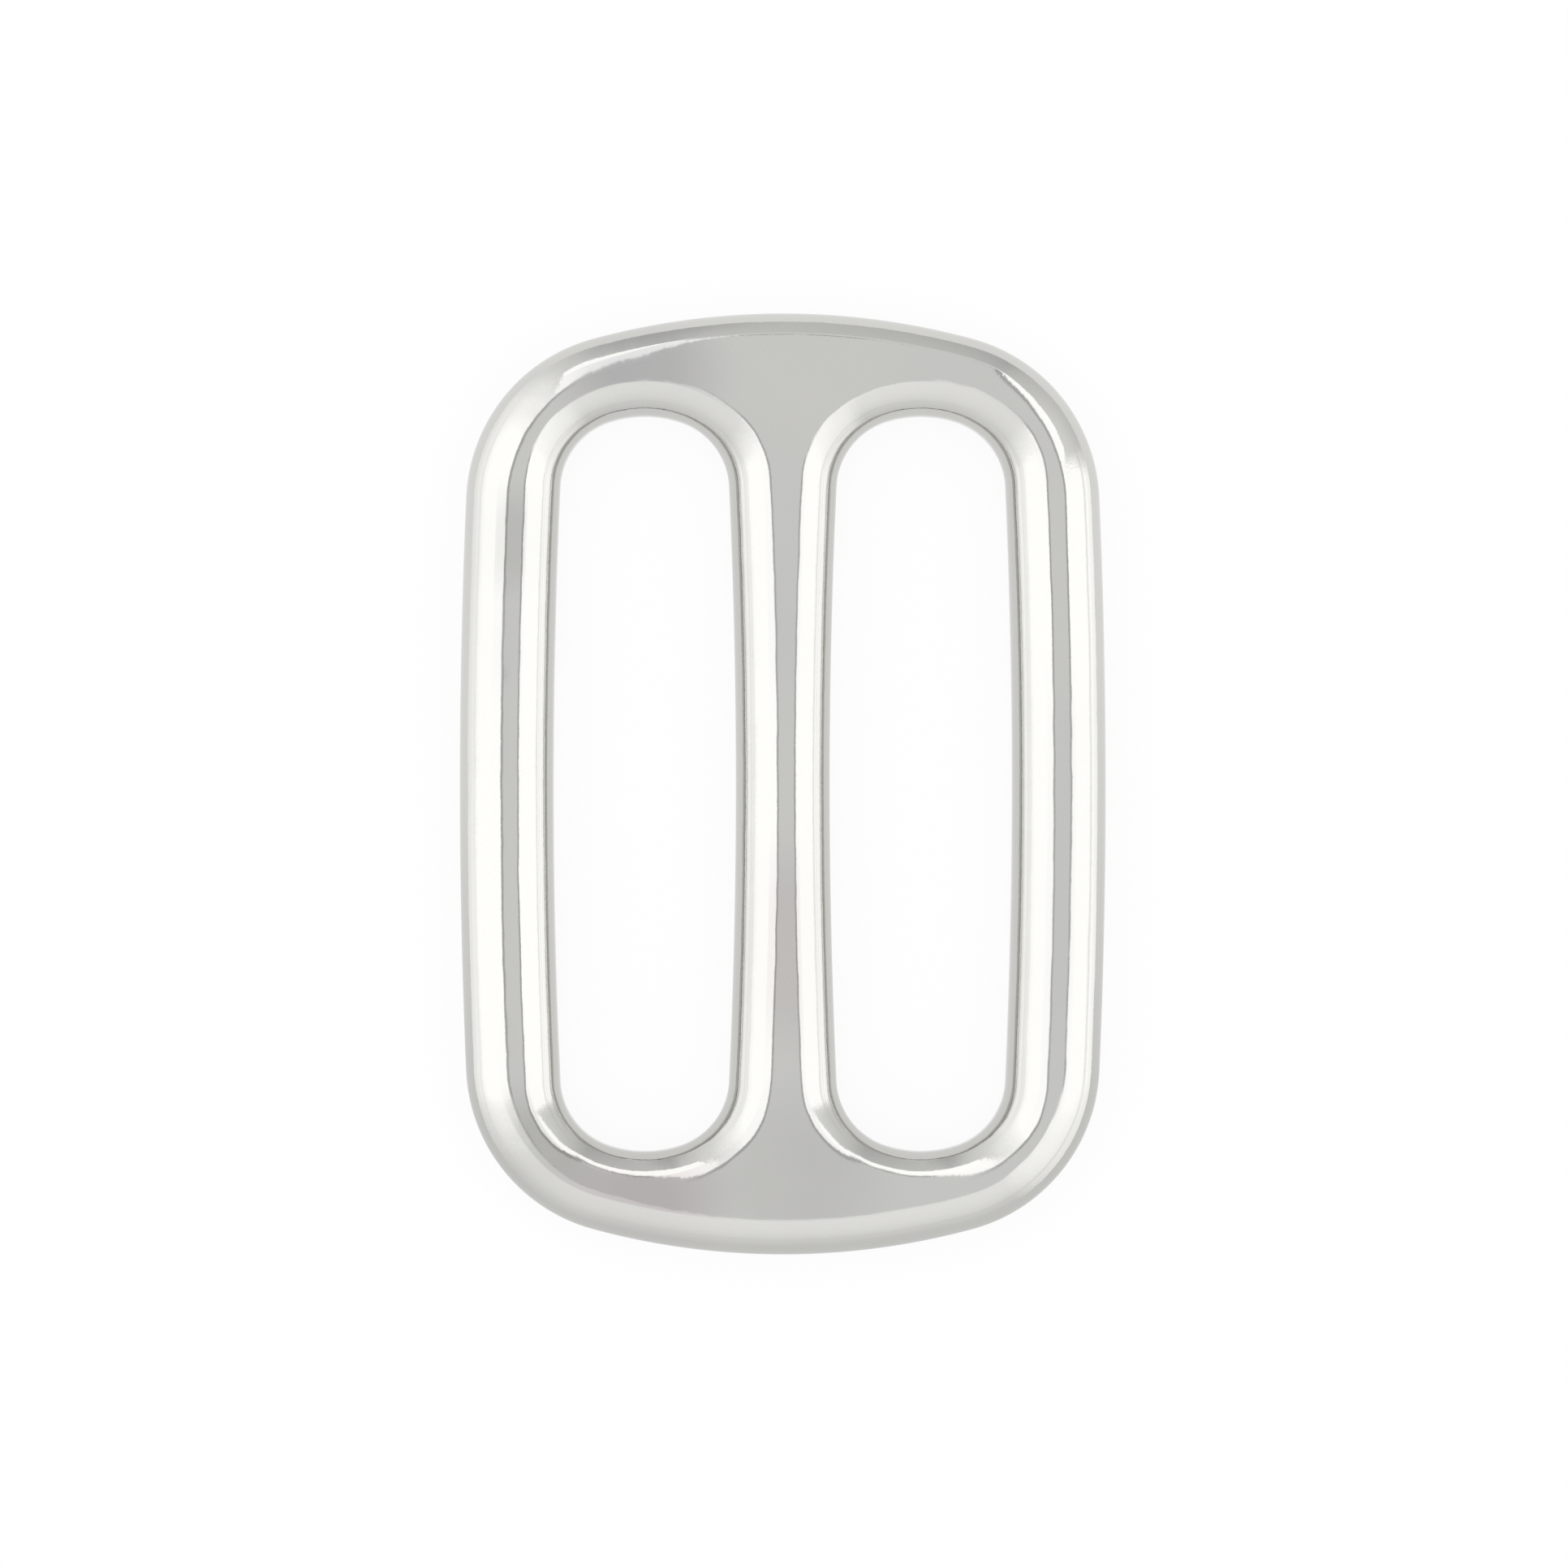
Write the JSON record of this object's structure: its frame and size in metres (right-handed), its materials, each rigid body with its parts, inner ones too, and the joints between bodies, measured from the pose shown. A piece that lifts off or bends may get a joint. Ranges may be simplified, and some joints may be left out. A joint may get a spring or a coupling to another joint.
{
  "type": "strap slider",
  "caption": "Oblong strap slider with a long slot each side of a centre bar, its polished front rolled over at every edge and its back flat.",
  "frame": {"origin": "middle of the flat back face, on the centre bar", "axes": "+Z out of the rounded front, +Y along the slots and so across the strap's width, +X from the left slot to the right slot, along the strap"},
  "size_m": [0.0238, 0.0346, 0.0028],
  "materials": {
    "nickel_plate": "bright nickel plate over a polished zinc alloy casting"
  },
  "bodies": {
    "root": {"slider_frame": "nickel_plate"}
  },
  "joints": []
}
